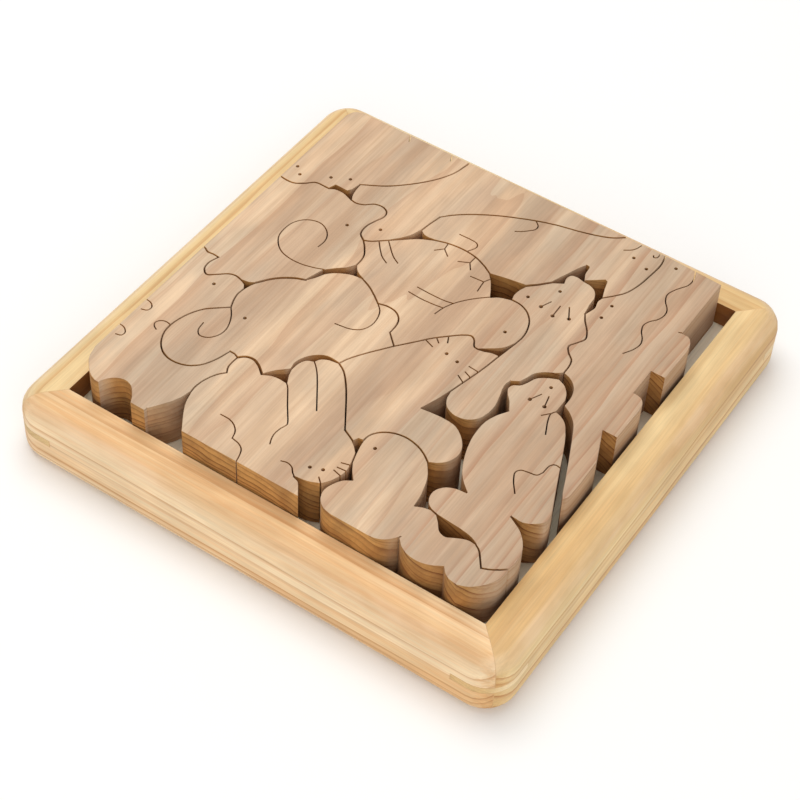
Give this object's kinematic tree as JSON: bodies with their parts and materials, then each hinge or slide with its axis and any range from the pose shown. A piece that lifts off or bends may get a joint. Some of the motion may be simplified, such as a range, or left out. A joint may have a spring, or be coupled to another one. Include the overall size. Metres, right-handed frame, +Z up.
{
  "type": "wooden animal puzzle in a tray",
  "caption": "Flat square wooden tray with rounded, mitred rails, filled by thick sawn animal shapes that interlock, stand above the rails and lift out one by one.",
  "frame": {"origin": "centre of the tray's underside", "axes": "+Z up out of the tray, +Y to the back rail, +X to the right rail"},
  "size_m": [0.236, 0.236, 0.0428],
  "materials": {
    "rail_wood": "sanded, oiled softwood",
    "spline_wood": "sanded pale softwood",
    "panel_wood": "pale plywood",
    "animal_wood": "sanded, oiled pine"
  },
  "bodies": {
    "tray": {"front_rail": "rail_wood", "right_rail": "rail_wood", "back_rail": "rail_wood", "left_rail": "rail_wood", "front_left_spline": "spline_wood", "front_right_spline": "spline_wood", "back_right_spline": "spline_wood", "back_left_spline": "spline_wood", "floor_panel": "panel_wood"},
    "hippo": {"hippo_piece": "animal_wood"},
    "mouse": {"mouse_piece": "animal_wood"},
    "boar": {"boar_piece": "animal_wood"},
    "ram": {"ram_piece": "animal_wood"},
    "tiger": {"tiger_piece": "animal_wood"},
    "cat": {"cat_piece": "animal_wood"},
    "dog": {"dog_piece": "animal_wood"},
    "elephant": {"elephant_piece": "animal_wood"},
    "bear": {"bear_piece": "animal_wood"},
    "rabbit": {"rabbit_piece": "animal_wood"},
    "chick": {"chick_piece": "animal_wood"},
    "seal": {"seal_piece": "animal_wood"},
    "crocodile": {"crocodile_piece": "animal_wood"}
  },
  "joints": [
    {"name": "hippo_lift", "type": "slide", "parent": "tray", "child": "hippo", "axis": [0, 0, 1], "range_m": [0, 0.03]},
    {"name": "mouse_lift", "type": "slide", "parent": "tray", "child": "mouse", "axis": [0, 0, 1], "range_m": [0, 0.03]},
    {"name": "boar_lift", "type": "slide", "parent": "tray", "child": "boar", "axis": [0, 0, 1], "range_m": [0, 0.03]},
    {"name": "ram_lift", "type": "slide", "parent": "tray", "child": "ram", "axis": [0, 0, 1], "range_m": [0, 0.03]},
    {"name": "tiger_lift", "type": "slide", "parent": "tray", "child": "tiger", "axis": [0, 0, 1], "range_m": [0, 0.03]},
    {"name": "cat_lift", "type": "slide", "parent": "tray", "child": "cat", "axis": [0, 0, 1], "range_m": [0, 0.03]},
    {"name": "dog_lift", "type": "slide", "parent": "tray", "child": "dog", "axis": [0, 0, 1], "range_m": [0, 0.03]},
    {"name": "elephant_lift", "type": "slide", "parent": "tray", "child": "elephant", "axis": [0, 0, 1], "range_m": [0, 0.03]},
    {"name": "bear_lift", "type": "slide", "parent": "tray", "child": "bear", "axis": [0, 0, 1], "range_m": [0, 0.03]},
    {"name": "rabbit_lift", "type": "slide", "parent": "tray", "child": "rabbit", "axis": [0, 0, 1], "range_m": [0, 0.03]},
    {"name": "chick_lift", "type": "slide", "parent": "tray", "child": "chick", "axis": [0, 0, 1], "range_m": [0, 0.03]},
    {"name": "seal_lift", "type": "slide", "parent": "tray", "child": "seal", "axis": [0, 0, 1], "range_m": [0, 0.03]},
    {"name": "crocodile_lift", "type": "slide", "parent": "tray", "child": "crocodile", "axis": [0, 0, 1], "range_m": [0, 0.03]}
  ]
}
